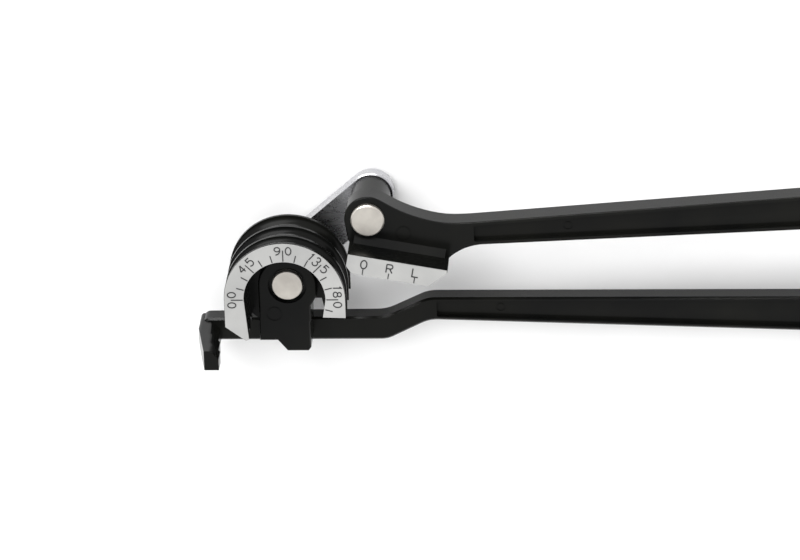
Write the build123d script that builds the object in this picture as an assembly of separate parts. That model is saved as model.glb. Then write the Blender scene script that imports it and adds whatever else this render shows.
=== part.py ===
from build123d import *
from math import cos, radians, sin
import os

# A three-size lever tube bender, lying on its back.  +X runs along the lower handle, +Y is
# across the handles, +Z comes out of the scale faces.  The origin is on the wheel's axis,
# on the flat tail of the centre pin, which is the lowest face of the tool.
# "Depth" below is measured from the scale faces down towards that tail.

# ---- driving dimensions, mm ----
STACK = 46.6            # scale faces to pin tails
BEND_R = 24.0           # wheel centre to tube centre line
RIM_IN = 16.1           # inner radius of the horseshoe rim
RIM_DEPTH = 29.8        # rim thickness along the axis
TUBE_R = [3.175, 3.97, 4.76]       # 1/4, 5/16 and 3/8 inch tube
GROOVE_DEPTH = [4.68, 13.32, 23.55]
GROOVE_SLACK = 0.1
SCALE_T = 0.5           # scale strips stand in front of the castings
LINK_L = 43.4           # pivot to pivot
LINK_ANGLE = 40.9       # degrees above +X
SHOE_TILT = -10.5       # shoe direction, degrees
SHOE_DROP = 18.2        # handle pivot to the shoe's working face
PIN_R = 5.0
FIT = 0.02              # radial, pins in castings
RUN = 0.05              # radial, pins in the link's bushes
HANDLE_END = 226.0      # right end of both handles

CHEEK = (14.0, 20.0)    # front lug of the lower handle
WEB = (20.0, 29.8)      # wheel web behind the lug
BAR = (30.2, 38.2)      # lower handle
PLATE = (14.0, 23.6)    # upper handle
BOSS_END = 38.0         # back faces of both pivot bosses
THRUST = (38.05, 38.65)
LINK = (38.7, 44.7)
BACK_WASHER = (44.75, 45.25)
CLIP = (45.35, 46.05)
CLIP_GROOVE = (45.3, 46.1)
CLIP_GROOVE_R = 4.2

FLANGE_W = 1.5          # width of the handles' edge flanges
POCKET_D = 2.7          # depth of the handles' pockets
PIVOT = (LINK_L * cos(radians(LINK_ANGLE)), LINK_L * sin(radians(LINK_ANGLE)))


# ---- helpers ----
def slab(outline, depths):
    """Extrudes a flat outline between two depths."""
    front, back = depths
    return extrude(Pos(0, 0, STACK - back) * outline, amount=back - front)


def polygon(points):
    return make_face(Polyline(*points, close=True))


def disc(radius, at=(0, 0), hole=0.0):
    shape = Circle(radius) - Circle(hole) if hole else Circle(radius)
    return Pos(*at) * shape


def near(shape, x, y):
    """The outline's corner that lies nearest to a point."""
    return shape.vertices().sort_by_distance((x, y, 0))[0]


def rounded(shape, corners):
    """Rounds listed corners of an outline: (x, y, radius) each."""
    for x, y, radius in corners:
        shape = fillet(near(shape, x, y), radius)
    return shape


def soft_front(body, radius):
    """Rounds the edges of the face nearest the viewer."""
    return fillet(body.edges().group_by(Axis.Z)[-1], radius)


def ejector_mark(at, radius, surface):
    """The shallow ring that a mould's ejector leaves in a casting."""
    return slab(disc(radius, at, radius - 0.6), (surface - 1, surface + 0.35))


def shoe_frame(depth):
    """Plane on the handle pivot: X along the shoe, Y away from the wheel."""
    return Pos(PIVOT[0], PIVOT[1], STACK - depth) * Rot(0, 0, SHOE_TILT)


# ---- lower handle: lug, bar, hook and grip in one casting ----
LUG_R = 11.6
LUG_RIGHT = 8.6
LEFT_END = -37.3        # outer side of the hook
BAR_TOP = -20.9
BAR_BOTTOM = -30.9
COUNTERBORE = (7.7, 2.5)


def lower_handle():
    grip_top = -12.8
    grip_bottom = -28.6
    bar = polygon([
        (LEFT_END, BAR_TOP - 0.6), (37.5, BAR_TOP), (54.5, grip_top), (HANDLE_END, grip_top - 0.3),
        (HANDLE_END, grip_bottom), (55.0, -22.4), (38.0, BAR_BOTTOM), (-34.0, BAR_BOTTOM),
    ])
    bar = rounded(bar, [
        (37.5, BAR_TOP, 16), (54.5, grip_top, 14), (55, -22.4, 14), (38, BAR_BOTTOM, 10),
        (HANDLE_END, grip_top, 6), (HANDLE_END, grip_bottom, 6), (LEFT_END, BAR_TOP, 3),
    ])
    body = slab(bar, BAR)
    body = chamfer(body.edges().filter_by_position(Axis.Z, STACK - BAR[0], STACK - BAR[0]), 0.8)
    pocket = polygon([
        (58, grip_top - FLANGE_W), (HANDLE_END - 8, grip_top - FLANGE_W - 0.3),
        (HANDLE_END - 8, grip_bottom + FLANGE_W + 0.3), (58, -22.6 + FLANGE_W),
    ])
    pocket = fillet(pocket.vertices(), 0.8)
    body -= slab(pocket, (BAR[0] - 1, BAR[0] + POCKET_D))
    body -= slab(pocket, (BAR[1] - 2.4, BAR[1] + 1))

    lug = Pos(-1.3, -8) * Rectangle(2 * LUG_R - 2.6, 16)
    lug += disc(LUG_R)
    lug += polygon([
        (-LUG_R, 0), (-LUG_R, -23.8), (-4.6, -23.8), (-0.8, -28.4), (7.6, -28.4),
        (LUG_RIGHT, -27.0), (LUG_RIGHT, -9.6), (LUG_R, -4.6), (LUG_R, 0),
    ])
    foot = polygon([
        (-LUG_R, -13), (-LUG_R, -23.8), (-4.6, -23.8), (-0.8, -28.4), (7.6, -28.4),
        (LUG_RIGHT, -27.0), (LUG_RIGHT, -13),
    ])
    body += soft_front(slab(lug, CHEEK), 0.7)
    body += soft_front(slab(foot, (CHEEK[0], BAR[0] + 2)), 0.7)
    body += hook()
    body -= slab(disc(COUNTERBORE[0]), (CHEEK[0] - 1, CHEEK[0] + COUNTERBORE[1]))
    body -= slab(disc(PIN_R + FIT), (CHEEK[0] - 1, BAR[0]))
    for at in fastener_places():
        body -= slab(disc(FASTENER_R + FIT, at), (CHEEK[0] + 1.9, CHEEK[1] + 1))
    body -= ejector_mark((-5.5, -12.0), 3.2, CHEEK[0])
    body -= ejector_mark((83.5, -17.8), 1.9, BAR[0] + POCKET_D)
    return body


def hook():
    """The stepped finger that holds the tube against the wheel, one step for each size."""
    left, bottom, top = LEFT_END, BAR_BOTTOM, -22.6
    finger = None
    starts = [1.2, 8.9, 18.1, BAR[1]]
    for size, tube_r in enumerate(TUBE_R):
        inner = -BEND_R - tube_r - 0.1
        section = polygon([
            (left, bottom), (left, top), (inner - 3.4, top), (inner, top - 3.7), (inner, bottom),
        ])
        section = rounded(section, [(left, top, 1.5), (left, bottom, 1.5), (inner - 3.4, top, 1.2)])
        step = slab(section, (starts[size], starts[size + 1]))
        finger = step if finger is None else finger + step
    # the outer side narrows towards the tip
    taper = Plane.XZ.offset(-top + 5) * polygon([
        (left - 1, STACK), (left + 4.2, STACK), (left + 4.2, STACK - 1.2),
        (left + 2.8, STACK - 9), (left, STACK - 26), (left - 1, STACK - 26),
    ])
    wedge = extrude(taper, amount=30, both=True)
    return finger - wedge


# ---- forming wheel ----
FASTENER_R = 1.25
FASTENER_PCR = 9.3
SCREW_ANGLES = (150, 30)
DOWEL_ANGLES = (205, 335)
WHEEL_BOSS_R = 7.0


def on_circle(radius, angle):
    return (radius * cos(radians(angle)), radius * sin(radians(angle)))


def fastener_places():
    return [on_circle(FASTENER_PCR, a) for a in SCREW_ANGLES + DOWEL_ANGLES]


def horseshoe(outer, inner):
    """Half ring with its two straight legs, the left one longer."""
    ring = (Circle(outer) - Circle(inner)) & (Pos(0, outer) * Rectangle(3 * outer, 2 * outer))
    left = polygon([(-outer, 0), (-outer, -11.6), (-15.9, -17.6), (-14.7, -17.1), (-inner, 0)])
    right = polygon([(inner, 0), (14.9, -7.6), (outer, -7.9), (outer, 0)])
    return ring + left + right


def forming_wheel():
    wheel = slab(horseshoe(BEND_R, RIM_IN), (SCALE_T, RIM_DEPTH))
    web = disc(RIM_IN + 1) & (Pos(0, 8) * Rectangle(60, 32))
    web += polygon([(-16.5, -6), (-16.5, -17), (-11.7, -17), (-11.7, -12.9), (-9, -12.9), (-9, -6)])
    web += polygon([(12.6, -6), (14.2, -13.5), (17, -13.5), (17, -6)])
    wheel += slab(web, WEB)
    wheel += slab(disc(WHEEL_BOSS_R), (WEB[1], BOSS_END))
    wheel -= slab(disc(PIN_R + FIT), (WEB[0] - 1, BOSS_END + 1))
    for depth, tube_r in zip(GROOVE_DEPTH, TUBE_R):
        groove_r = tube_r + GROOVE_SLACK
        height = STACK - depth
        wheel -= Pos(0, 0, height) * Torus(BEND_R, groove_r)
        for side in (-1, 1):
            wheel -= Pos(side * BEND_R, -20, height) * Rot(90, 0, 0) * Cylinder(groove_r, 40)
    for at in fastener_places():
        wheel -= slab(disc(FASTENER_R + FIT, at), (WEB[0] - 1, WEB[1] + 1))
    for angle in SCREW_ANGLES:
        wheel -= slab(disc(SCREW_HEAD_R + 0.1, on_circle(FASTENER_PCR, angle)), (27.6, WEB[1] + 1))
    return wheel


SCREW_HEAD_R = 2.1


def wheel_screws():
    screws = []
    for angle in SCREW_ANGLES:
        at = on_circle(FASTENER_PCR, angle)
        screw = slab(disc(FASTENER_R, at), (16.2, 27.7)) + slab(disc(SCREW_HEAD_R, at), (27.6, 29.6))
        socket = Pos(*at) * RegularPolygon(1.15, 6)
        screws.append(screw - slab(socket, (28.4, 30)))
    return Compound(children=screws)


def wheel_dowels():
    return Compound(children=[
        slab(disc(FASTENER_R, on_circle(FASTENER_PCR, a)), (16.2, 29.4)) for a in DOWEL_ANGLES
    ])


def angle_scale():
    return slab(horseshoe(BEND_R - 0.15, RIM_IN + 0.1), (0.0, SCALE_T))


# ---- scale marks, inlaid black ----
MARK_T = 0.12           # marks stand this far out of the scale strips
TICK_W = 0.38
STROKE = 0.42           # line width of the numerals
HALF_W, HALF_H = 1.3, 1.8          # half size of a numeral
DIGIT_R = 20.9
DIGIT_STEP = 2.2        # middle of a numeral to its tick


def mark(outline):
    return slab(outline, (-MARK_T, 0.0))


def tick(angle, length):
    """A radial line that starts at the rim's inner edge."""
    start = RIM_IN + 0.4
    return Rot(0, 0, angle) * Pos(start + length / 2, 0) * Rectangle(length, TICK_W)


def oval(half_w, half_h, centre=0.0):
    return Pos(0, centre) * (Ellipse(half_w, half_h) - Ellipse(half_w - STROKE, half_h - STROKE))


def strokes(*curves):
    return Sketch() + [trace(curve, STROKE) for curve in curves]


def glyph(character):
    """A numeral or letter drawn with one pen width, centred on the origin."""
    w, h = HALF_W - STROKE / 2, HALF_H - STROKE / 2
    if character in "0O":
        return oval(HALF_W, HALF_H)
    if character == "8":
        return oval(1.1, 0.98, 0.82) + oval(HALF_W, 1.05, -0.75)
    if character == "9":
        return oval(HALF_W, 1.1, 0.7) + strokes(ThreePointArc((w, 0.7), (0.7, -0.9), (-0.6, -h)))
    if character == "1":
        return strokes(Polyline((-0.6, 1.0), (0, h), (0, -h)))
    if character == "3":
        return strokes(ThreePointArc((-0.9, 1.3), (0.9, 0.95), (-0.15, 0.15)),
                       ThreePointArc((-0.15, 0.15), (1.0, -0.8), (-w, -1.2)))
    if character == "4":
        return strokes(Line((0.5, -h), (0.5, h)), Line((0.5, h), (-w, -0.6)), Line((-w, -0.6), (w, -0.6)))
    if character == "5":
        return strokes(Polyline((0.9, h), (-0.7, h), (-0.85, 0.2)),
                       ThreePointArc((-0.85, 0.2), (w, -0.6), (-0.95, -1.4)))
    if character == "R":
        return strokes(Line((-w, -h), (-w, h)), Polyline((-w, h), (0.1, h)), Line((-w, 0), (0.1, 0)),
                       ThreePointArc((0.1, h), (w, h / 2), (0.1, 0)), Line((0.1, 0), (w, -h)))
    return strokes(Polyline((-w, h), (-w, -h), (w, -h)))


def inscription(text, pitch=2.8):
    """A short row of glyphs, centred on the origin."""
    start = -pitch * (len(text) - 1) / 2
    return [Pos(start + pitch * i, 0) * glyph(c) for i, c in enumerate(text)]


def angle_scale_marks():
    main = {180: ("0", "0"), 135: ("4", "5"), 90: ("9", "0"), 45: ("13", "5"), 0: ("18", "0")}
    marks = []
    for angle in range(-15, 181, 15):
        marks.append(mark(tick(angle, 4.7 if angle in main else 3.0)))
    for angle, halves in main.items():
        for text, side in zip(halves, (-1, 1)):
            reach = side * (DIGIT_STEP if len(text) == 1 else DIGIT_STEP + 1.4)
            place = Rot(0, 0, angle - 90) * Pos(reach, DIGIT_R)
            marks += [mark(place * shape) for shape in inscription(text)]
    return Compound(children=marks)


# ---- upper handle with the shoe ----
SHOE_TOP = -10.1        # ledge of the shoe, below the pivot in the shoe's own frame
HEAD_R = 9.3
HANDLE_BOSS_R = 8.0


def shoe_outline(inset=0.0):
    """Side view of the shoe, in the shoe's own frame."""
    low, high = -SHOE_DROP + inset, SHOE_TOP - inset
    outline = polygon([
        (-5.6 + inset, high), (34.2 - inset, high), (34.2 - inset, high - 1.2),
        (28.0 - inset / 2, low), (-3.0 + inset, low), (-5.6 + inset, low + 2.8),
    ])
    return rounded(outline, [(-5.6, low + 2.8, 1.2), (-3, low, 1.2), (28, low, 1.0)])


def upper_handle():
    end_top, end_bottom = 38.7, 23.9
    neck = Spline((33.9, 37.7), (39.0, 35.6), (46.3, 31.5), (58.3, 27.4), (76.0, 26.9),
                  tangents=[(1, -0.12), (1, 0.078)])
    edges = [
        neck,
        Line((76.0, 26.9), (HANDLE_END, end_top)),
        Line((HANDLE_END, end_top), (HANDLE_END, end_bottom)),
        Line((HANDLE_END, end_bottom), (78.0, 17.2)),
        ThreePointArc((78.0, 17.2), (69.0, 14.7), (62.6, 9.4)),
        Line((62.6, 9.4), (27.5, 15.0)),
        Line((27.5, 15.0), (24.6, 19.6)),
        Line((24.6, 19.6), (23.6, 27.0)),
        Line((23.6, 27.0), (33.9, 37.7)),
    ]
    outline = make_face(Wire(edges))
    outline = rounded(outline, [(HANDLE_END, end_top, 6), (HANDLE_END, end_bottom, 6)])
    outline += disc(HEAD_R, PIVOT)
    body = soft_front(slab(outline, PLATE), 0.6)

    pocket = polygon([
        (74.5, 26.8 - FLANGE_W), (HANDLE_END - 8, end_top - 0.6 - FLANGE_W),
        (HANDLE_END - 8, end_bottom - 0.3 + FLANGE_W), (74.5, 17.0 + FLANGE_W),
    ])
    pocket = fillet(pocket.vertices(), 0.8)
    body -= slab(pocket, (PLATE[0] - 1, PLATE[0] + POCKET_D))
    body -= slab(pocket, (PLATE[1] - 3.0, PLATE[1] + 1))

    block = extrude(shoe_frame(RIM_DEPTH) * shoe_outline(), amount=RIM_DEPTH - SCALE_T)
    body += block
    # sloping fillet between the plate and the ledge
    rise, run = 2.8, 2.4
    profile = polygon([(SHOE_TOP - 1, -1), (SHOE_TOP - 1, run), (SHOE_TOP, run), (SHOE_TOP + rise, 0),
                       (SHOE_TOP + rise, -1)])
    along = Plane(origin=(0, 0, 0), x_dir=(0, 1, 0), z_dir=(1, 0, 0))
    wedge = extrude(shoe_frame(PLATE[0]) * Pos(-4.0, 0, 0) * (along * profile), amount=36.5,
                    dir=Vector(1, 0, 0).rotate(Axis.Z, SHOE_TILT))
    body += wedge
    body += slab(disc(HANDLE_BOSS_R, PIVOT), (PLATE[1] - 1, BOSS_END))
    for depth, tube_r in zip(GROOVE_DEPTH, TUBE_R):
        groove = Cylinder(tube_r + GROOVE_SLACK, 100)
        body -= shoe_frame(depth) * Pos(15, -SHOE_DROP, 0) * Rot(0, 90, 0) * groove
    body -= slab(disc(PIN_R + FIT, PIVOT), (PLATE[0] - 1, BOSS_END + 1))
    body -= ejector_mark((46.8, 22.4), 3.2, PLATE[0])
    body -= ejector_mark((111.5, 24.4), 1.9, PLATE[0] + POCKET_D)
    return body


def shoe_scale():
    return extrude(shoe_frame(SCALE_T) * shoe_outline(0.2), amount=SCALE_T)


def shoe_scale_marks():
    marks = []
    low = -SHOE_DROP + 0.5
    for text, along in (("O", 1.4), ("R", 11.6), ("L", 21.9)):
        line = Pos(along, low + 1.15) * Rectangle(TICK_W, 2.3)
        for shape in (Pos(along, low + 4.35) * scale(glyph(text), 1.1), line):
            marks.append(extrude(shoe_frame(0) * shape, amount=MARK_T))
    return Compound(children=marks)


# ---- link and pivots ----
BUSH_R = 6.5
LINK_R = 9.0
WASHER_R = 8.0


def link_plate():
    outline = disc(LINK_R) + disc(LINK_R, PIVOT)
    outline += Rot(0, 0, LINK_ANGLE) * Pos(LINK_L / 2, 0) * Rectangle(LINK_L, 2 * LINK_R)
    body = slab(outline, LINK)
    faces = body.faces().filter_by(Axis.Z)
    body = chamfer(faces.edges(), 0.5)
    for at in ((0, 0), PIVOT):
        body -= slab(disc(BUSH_R, at), (LINK[0] - 1, LINK[1] + 1))
    return body


def bush(at):
    return slab(disc(BUSH_R, at, PIN_R + RUN), LINK)


def washer(at, depths):
    return slab(disc(WASHER_R if depths == BACK_WASHER else WHEEL_BOSS_R, at, PIN_R + 0.1), depths)


def retaining_clip(at, turn):
    """E-shaped clip in the pin's end groove, open on one side."""
    ring = Circle(7.4) - Circle(CLIP_GROOVE_R + 0.05)
    ring -= Pos(6, 0) * Rectangle(12, 6.4)
    for side in (55, 305):
        ring -= Rot(0, 0, side + 35 * (1 if side < 180 else -1)) * Pos(5.2, 0) * Circle(1.0)
    return slab(Pos(*at) * Rot(0, 0, turn) * ring, CLIP)


def pivot_pin(at, head_r, head, edge):
    """Round-headed pin; its head stands between the depths in head."""
    face = slab(disc(head_r, at), head)
    face = chamfer(face.edges().group_by(Axis.Z)[-1], edge)
    pin = face + slab(disc(PIN_R, at), (head[1], STACK))
    pin -= slab(disc(PIN_R + 1, at, CLIP_GROOVE_R), CLIP_GROOVE)
    return chamfer(pin.edges().group_by(Axis.Z)[0], 0.3)


def build():
    centre = (0, 0)
    return {
        "lower_handle": lower_handle(),
        "forming_wheel": forming_wheel(),
        "wheel_screws": wheel_screws(),
        "wheel_dowels": wheel_dowels(),
        "angle_scale": angle_scale(),
        "angle_scale_marks": angle_scale_marks(),
        "centre_pin": pivot_pin(centre, 6.1, (13.8, CHEEK[0] + COUNTERBORE[1]), 0.25),
        "centre_clip": retaining_clip(centre, 200),
        "centre_back_washer": washer(centre, BACK_WASHER),
        "centre_thrust_washer": washer(centre, THRUST),
        "link_plate": link_plate(),
        "link_centre_bush": bush(centre),
        "link_handle_bush": bush(PIVOT),
        "handle_thrust_washer": washer(PIVOT, THRUST),
        "upper_handle": upper_handle(),
        "shoe_scale": shoe_scale(),
        "shoe_scale_marks": shoe_scale_marks(),
        "handle_pin": pivot_pin(PIVOT, 6.6, (11.9, PLATE[0]), 0.5),
        "handle_clip": retaining_clip(PIVOT, 320),
        "handle_back_washer": washer(PIVOT, BACK_WASHER),
    }


os.makedirs("parts", exist_ok=True)
for name, shape in build().items():
    export_step(shape, f"parts/{name}.step")
    print(name, round(shape.volume, 1))
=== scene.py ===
import math

import bpy
from mathutils import Matrix, Vector


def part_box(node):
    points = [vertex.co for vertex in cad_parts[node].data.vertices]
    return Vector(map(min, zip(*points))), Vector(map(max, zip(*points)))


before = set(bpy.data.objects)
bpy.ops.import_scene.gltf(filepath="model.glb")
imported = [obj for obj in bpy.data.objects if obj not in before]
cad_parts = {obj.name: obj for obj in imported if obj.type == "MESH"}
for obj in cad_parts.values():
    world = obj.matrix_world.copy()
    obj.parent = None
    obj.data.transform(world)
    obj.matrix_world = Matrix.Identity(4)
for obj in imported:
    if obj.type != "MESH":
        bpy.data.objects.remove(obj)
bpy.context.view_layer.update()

MICRON = 1e-6
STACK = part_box("angle_scale")[1].z          # height of the scale faces


# ---- camera ----
ELEVATION = math.radians(23.8)      # above the scale faces' normal, towards +Y
AZIMUTH = math.radians(3.6)         # towards +X
ROLL = math.radians(-0.25)
DISTANCE = 2.2
FRAME_WIDTH = 0.3147                # what the frame's width shows at the scale faces
VIEW_CENTRE = (0.04544, 0.00787)    # from the wheel's axis to the middle of the view
SENSOR = 36.0


def make_camera():
    up = Vector((0, math.cos(ELEVATION), -math.sin(ELEVATION)))
    right = Vector((math.cos(AZIMUTH), -math.sin(AZIMUTH) * math.sin(ELEVATION),
                    -math.sin(AZIMUTH) * math.cos(ELEVATION)))
    roll = Matrix.Rotation(ROLL, 3, right.cross(up))
    right, up = roll @ right, roll @ up
    back = right.cross(up)
    target = Vector((0, 0, STACK)) + right * VIEW_CENTRE[0] + up * VIEW_CENTRE[1]
    data = bpy.data.cameras.new("photo_camera")
    data.sensor_width = SENSOR
    data.lens = SENSOR * DISTANCE / FRAME_WIDTH
    data.clip_end = 20
    camera = bpy.data.objects.new("photo_camera", data)
    bpy.context.scene.collection.objects.link(camera)
    turn = Matrix((right, up, back)).transposed().to_4x4()
    camera.matrix_world = Matrix.Translation(target + back * DISTANCE) @ turn
    bpy.context.scene.camera = camera


# ---- node helpers for materials ----
NOISE_RANGE = (0.3, 0.7)            # where nearly all of a noise's values lie
TONE_STOPS = (0.35, 0.65)           # noise values of a material's dark and light tone


class Shade:
    """Builds one procedural material: a Principled shader and the nodes that feed it."""

    def __init__(self, name, **sockets):
        self.material = bpy.data.materials.new(name)
        self.material.use_nodes = True
        self.tree = self.material.node_tree
        self.tree.nodes.clear()
        self.out = self.node("ShaderNodeOutputMaterial")
        self.shader = self.node("ShaderNodeBsdfPrincipled")
        self.link(self.shader, "BSDF", self.out, "Surface")
        self.place = self.node("ShaderNodeTexCoord")
        for socket, value in sockets.items():
            self.shader.inputs[socket.replace("_", " ")].default_value = value

    def node(self, kind, **settings):
        made = self.tree.nodes.new(kind)
        for key, value in settings.items():
            if key in made.inputs:
                made.inputs[key].default_value = value
            else:
                setattr(made, key, value)
        return made

    def link(self, source, output, target, socket):
        self.tree.links.new(source.outputs[output], target.inputs[socket])

    def noise(self, scale, detail=4.0, stretch=(1, 1, 1)):
        mapping = self.node("ShaderNodeMapping")
        mapping.inputs["Scale"].default_value = stretch
        self.link(self.place, "Object", mapping, "Vector")
        noise = self.node("ShaderNodeTexNoise", Scale=scale, Detail=detail)
        self.link(mapping, "Vector", noise, "Vector")
        return noise

    def spread(self, source, output, low, high, edges=(0.0, 1.0)):
        """Maps an output onto a range of numbers."""
        ranged = self.node("ShaderNodeMapRange")
        ranged.inputs["From Min"].default_value = edges[0]
        ranged.inputs["From Max"].default_value = edges[1]
        ranged.inputs["To Min"].default_value = low
        ranged.inputs["To Max"].default_value = high
        self.link(source, output, ranged, "Value")
        return ranged

    def colours(self, source, output, dark, light):
        ramp = self.node("ShaderNodeValToRGB")
        for stop, tone, position in zip(ramp.color_ramp.elements, (dark, light), TONE_STOPS):
            stop.color = (*tone, 1)
            stop.position = position
        self.link(source, output, ramp, "Fac")
        self.link(ramp, "Color", self.shader, "Base Color")

    def bumps(self, *layers):
        """Stacks bump layers: (source, output, strength, height in metres)."""
        below = None
        for source, output, strength, height in layers:
            bump = self.node("ShaderNodeBump", Strength=strength, Distance=height)
            self.link(source, output, bump, "Height")
            if below is not None:
                self.link(below, "Normal", bump, "Normal")
            below = bump
        self.link(below, "Normal", self.shader, "Normal")


def black_enamel():
    """Gloss enamel over a die casting: broad unevenness, slight orange peel and fine grit."""
    s = Shade("black_enamel", Metallic=0.0, IOR=1.5, Specular_IOR_Level=0.10, Coat_Weight=0.05,
              Coat_Roughness=0.15)
    broad = s.noise(38, 3)
    peel = s.noise(420, 2)
    grit = s.noise(2600, 2)
    s.colours(broad, "Fac", (0.0035, 0.0037, 0.0036), (0.0062, 0.0063, 0.0052))
    rough = s.spread(broad, "Fac", 0.16, 0.26, NOISE_RANGE)
    s.link(rough, "Result", s.shader, "Roughness")
    s.bumps((broad, "Fac", 0.25, 120 * MICRON), (peel, "Fac", 0.16, 30 * MICRON),
            (grit, "Fac", 0.06, 10 * MICRON))
    return s.material


def scale_strip():
    """Satin silver strip with a faint rolled grain."""
    s = Shade("scale_strip", Metallic=0.35, IOR=1.45)
    grain = s.noise(900, 3, (1, 14, 1))
    cloud = s.noise(55, 3)
    s.colours(cloud, "Fac", (0.36, 0.36, 0.355), (0.43, 0.43, 0.42))
    rough = s.spread(grain, "Fac", 0.38, 0.52, NOISE_RANGE)
    s.link(rough, "Result", s.shader, "Roughness")
    s.bumps((grain, "Fac", 0.12, 10 * MICRON))
    return s.material


def mark_ink():
    """Dull black ink, slightly worn."""
    s = Shade("mark_ink", Metallic=0.0)
    wear = s.noise(1500, 3)
    s.colours(wear, "Fac", (0.006, 0.006, 0.007), (0.014, 0.014, 0.015))
    rough = s.spread(wear, "Fac", 0.45, 0.65)
    s.link(rough, "Result", s.shader, "Roughness")
    return s.material


def brushed(name, dark, light, roughness, scale, stretch, metallic=1.0, height=4 * MICRON):
    """Metal with a directional grain and cloudy tone."""
    s = Shade(name, Metallic=metallic)
    grain = s.noise(scale, 4, stretch)
    cloud = s.noise(70, 4)
    s.colours(cloud, "Fac", dark, light)
    rough = s.spread(grain, "Fac", roughness - 0.02, roughness + 0.04, NOISE_RANGE)
    s.link(rough, "Result", s.shader, "Roughness")
    s.bumps((cloud, "Fac", 0.05, 20 * MICRON), (grain, "Fac", 0.05, height))
    return s.material


def turned(name, dark, light, roughness, centre):
    """A lathe-turned face: fine rings round the pin's axis."""
    s = Shade(name, Metallic=0.85)
    mapping = s.node("ShaderNodeMapping", vector_type="POINT")
    mapping.inputs["Location"].default_value = (-centre[0], -centre[1], 0)
    s.link(s.place, "Object", mapping, "Vector")
    rings = s.node("ShaderNodeTexWave", wave_type="RINGS", rings_direction="Z", Scale=900, Distortion=1.2)
    s.link(mapping, "Vector", rings, "Vector")
    cloud = s.noise(160, 4)
    s.colours(cloud, "Fac", dark, light)
    rough = s.spread(cloud, "Fac", roughness - 0.05, roughness + 0.08, NOISE_RANGE)
    s.link(rough, "Result", s.shader, "Roughness")
    s.bumps((cloud, "Fac", 0.12, 30 * MICRON), (rings, "Fac", 0.10, 6 * MICRON))
    return s.material


# ---- stage ----
FLOOR_SIZE = 8
FLOOR_GAP = 0.0002                  # keeps the floor clear of the pins' tails
WORLD_STRENGTH = 0.95
LIGHTS = {                          # place, aim, size and watts of each area light
    "edge_strip": ((-0.25, 0.75, 0.42), (0.02, 0, 0.03), (0.9, 0.05), 5),
    "key_soft": ((-0.5, 0.9, 1.3), (0.05, 0, 0), (0.9, 0.9), 11),
    "fill_soft": ((0.9, -0.7, 1.0), (0.05, 0, 0), (1.0, 0.7), 5),
}


def make_stage():
    bpy.ops.mesh.primitive_plane_add(size=FLOOR_SIZE, location=(0, 0, -FLOOR_GAP))
    floor = bpy.context.object
    floor.name = "floor"
    s = Shade("floor_paper", Roughness=0.7)
    paper = s.noise(30, 4)
    s.colours(paper, "Fac", (0.88, 0.88, 0.88), (0.90, 0.90, 0.90))
    floor.data.materials.append(s.material)

    world = bpy.data.worlds.new("studio")
    world.use_nodes = True
    world.node_tree.nodes["Background"].inputs["Color"].default_value = (1, 1, 1, 1)
    world.node_tree.nodes["Background"].inputs["Strength"].default_value = WORLD_STRENGTH
    bpy.context.scene.world = world
    bpy.context.scene.view_settings.view_transform = "Standard"


def area_light(name, place, aim, size, watts):
    data = bpy.data.lights.new(name, "AREA")
    data.shape = "RECTANGLE"
    data.size, data.size_y = size
    data.energy = watts
    light = bpy.data.objects.new(name, data)
    bpy.context.scene.collection.objects.link(light)
    light.location = place
    light.rotation_euler = (Vector(aim) - Vector(place)).to_track_quat("-Z", "Y").to_euler()


def make_lights():
    for name, (place, aim, size, watts) in LIGHTS.items():
        area_light(name, place, aim, size, watts)


# ---- finishes on the CAD nodes ----
def paint(nodes, material):
    for name in nodes:
        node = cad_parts[name]
        node.data.materials.clear()
        node.data.materials.append(material)


def finish_nodes():
    enamel = black_enamel()
    paint(["lower_handle", "forming_wheel", "upper_handle"], enamel)
    paint(["angle_scale", "shoe_scale"], scale_strip())
    paint(["angle_scale_marks", "shoe_scale_marks"], mark_ink())
    paint(["link_plate"], brushed("plated_link", (0.50, 0.50, 0.52), (0.56, 0.56, 0.57), 0.27,
                                  260, (1, 3, 1), 1.0, 0.4 * MICRON))
    for pin in ("centre_pin", "handle_pin"):
        low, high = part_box(pin)
        centre = (low + high) / 2
        paint([pin], turned("nickel_" + pin, (0.50, 0.47, 0.43), (0.60, 0.57, 0.52), 0.34, centre))
    paint(["link_centre_bush", "link_handle_bush"],
          brushed("bronze_bush", (0.42, 0.26, 0.11), (0.58, 0.38, 0.17), 0.42, 900, (1, 1, 1)))
    paint(["centre_back_washer", "handle_back_washer", "wheel_dowels"],
          brushed("zinc_hardware", (0.48, 0.49, 0.52), (0.62, 0.63, 0.65), 0.34, 700, (1, 8, 1)))
    paint(["centre_clip", "handle_clip", "wheel_screws"],
          brushed("spring_steel", (0.05, 0.05, 0.055), (0.11, 0.11, 0.12), 0.42, 900, (1, 1, 1), 0.9))
    paint(["centre_thrust_washer", "handle_thrust_washer"],
          brushed("washer_nylon", (0.68, 0.66, 0.58), (0.76, 0.74, 0.67), 0.55, 600, (1, 1, 1), 0.0))


make_camera()
make_stage()
make_lights()
finish_nodes()
